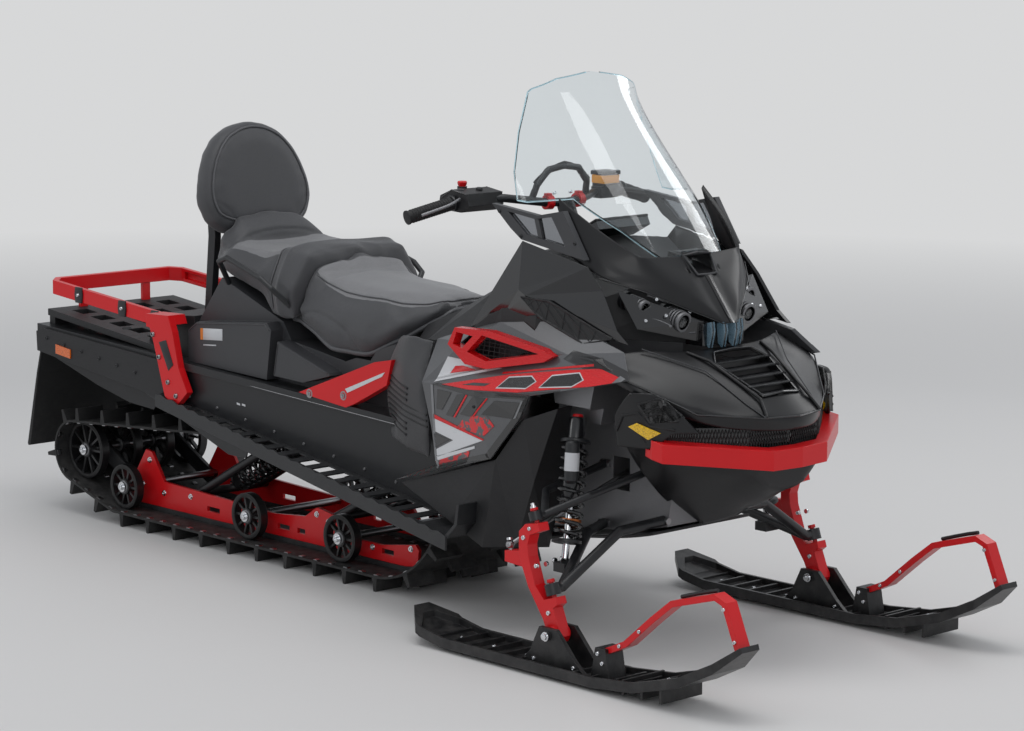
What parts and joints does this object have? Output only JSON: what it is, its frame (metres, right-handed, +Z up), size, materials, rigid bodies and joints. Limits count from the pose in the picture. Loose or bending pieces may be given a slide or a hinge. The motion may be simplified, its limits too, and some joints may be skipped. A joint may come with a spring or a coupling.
{
  "type": "snowmobile",
  "caption": "Two-up utility snowmobile with skis, a long lugged track, tall windshield, padded seats and backrest, rear cargo rack and handlebar steering.",
  "frame": {"origin": "middle of the footprint on the ground, half way between the flap and the ski tips", "axes": "+X forward along the sled, +Y to the rider's left, +Z up"},
  "size_m": [3.26, 1.13, 1.45],
  "materials": {
    "black_rubber": "matt moulded rubber",
    "red_metal": "satin red paint",
    "black_plastic": "grained black plastic",
    "wheel_plastic": "smooth black wheels",
    "dark_steel": "plain steel",
    "black_metal": "satin black powder coat",
    "shock_black": "black springs and bodies",
    "amber_lens": "amber lens",
    "red_lens": "red lens",
    "grey_plastic": "dark grey moulded plastic",
    "seat_vinyl": "grained vinyl",
    "silver_plastic": "silver grey with red and white stripes",
    "red_plastic": "gloss red",
    "grey_metal": "cast aluminium",
    "yellow_lens": "yellow lens",
    "black_gloss": "gloss black",
    "lamp_glass": "clear lens",
    "black_satin": "satin black",
    "clear_glass": "clear bent screen",
    "screen_glass": "dark display",
    "ski_plastic": "black moulded ski"
  },
  "bodies": {
    "chassis": {"backrest": "seat_vinyl", "beak": "black_satin", "belly_pan": "black_plastic", "bulkhead": "grey_metal", "cargo_deck": "black_plastic", "console": "black_plastic", "deflector_frames": "grey_plastic", "driver_seat": "seat_vinyl", "engine_block": "grey_metal", "front_bumper": "red_metal", "front_reflectors": "yellow_lens", "gauge": "screen_glass", "headlamps": "lamp_glass", "hood": "black_gloss", "hood_grille": "black_plastic", "knee_pads": "black_rubber", "lower_panels": "black_plastic", "nose_sides": "black_gloss", "passenger_seat": "seat_vinyl", "rear_rack": "red_metal", "rear_reflectors": "amber_lens", "rear_side_panels": "black_plastic", "running_boards": "black_metal", "seat_base": "grey_plastic", "seat_braces": "red_metal", "seat_rails": "black_metal", "shock_absorbers": "shock_black", "side_panels": "silver_plastic", "skid_arms": "black_metal", "slide_rails": "red_metal", "slide_runners": "black_plastic", "snow_flap": "black_rubber", "suspension_arms": "black_metal", "tail_lamp": "red_lens", "tow_hitch": "black_metal", "track": "black_rubber", "track_axles": "dark_steel", "track_wheels": "wheel_plastic", "tunnel": "black_metal", "upper_sides": "black_gloss", "vent_frames": "red_plastic", "windshield": "clear_glass"},
    "steering": {"handlebar": "black_metal", "grips": "black_rubber", "bar_controls": "black_plastic"},
    "spindle_left_body": {"spindle_left": "red_metal"},
    "ski_left_body": {"ski_left": "ski_plastic", "ski_loop_left": "red_metal"},
    "tie_rod_left_body": {"tie_rod_left": "dark_steel"},
    "spindle_right_body": {"spindle_right": "red_metal"},
    "ski_right_body": {"ski_right": "ski_plastic", "ski_loop_right": "red_metal"},
    "tie_rod_right_body": {"tie_rod_right": "dark_steel"}
  },
  "joints": [
    {"name": "steering", "type": "hinge", "parent": "chassis", "child": "steering", "pos_m": [0.52, 0, 1.062], "axis": [-0.4384, 0, 0.8988], "range_deg": [-27, 27]},
    {"name": "spindle_left", "type": "hinge", "parent": "chassis", "child": "spindle_left_body", "pos_m": [0.971, 0.49, 0.207], "axis": [-0.3383, 0, 0.941], "range_deg": [-27, 27]},
    {"name": "ski_left_pitch", "type": "hinge", "parent": "spindle_left_body", "child": "ski_left_body", "pos_m": [0.992, 0.49, 0.098], "axis": [0, 1, 0], "range_deg": [-15, 12]},
    {"name": "tie_rod_left", "type": "hinge", "parent": "spindle_left_body", "child": "tie_rod_left_body", "pos_m": [0.826, 0.49, 0.268], "axis": [-0.3383, 0, 0.941], "range_deg": [-27, 27]},
    {"name": "spindle_right", "type": "hinge", "parent": "chassis", "child": "spindle_right_body", "pos_m": [0.971, -0.49, 0.207], "axis": [-0.3383, 0, 0.941], "range_deg": [-27, 27]},
    {"name": "ski_right_pitch", "type": "hinge", "parent": "spindle_right_body", "child": "ski_right_body", "pos_m": [0.992, -0.49, 0.098], "axis": [0, 1, 0], "range_deg": [-15, 12]},
    {"name": "tie_rod_right", "type": "hinge", "parent": "spindle_right_body", "child": "tie_rod_right_body", "pos_m": [0.826, -0.49, 0.268], "axis": [-0.3383, 0, 0.941], "range_deg": [-27, 27]}
  ],
  "couplings": [
    {"joint": "spindle_left", "follows": "steering", "ratio": 0.9},
    {"joint": "tie_rod_left", "follows": "steering", "ratio": -0.9},
    {"joint": "spindle_right", "follows": "steering", "ratio": 0.9},
    {"joint": "tie_rod_right", "follows": "steering", "ratio": -0.9}
  ]
}
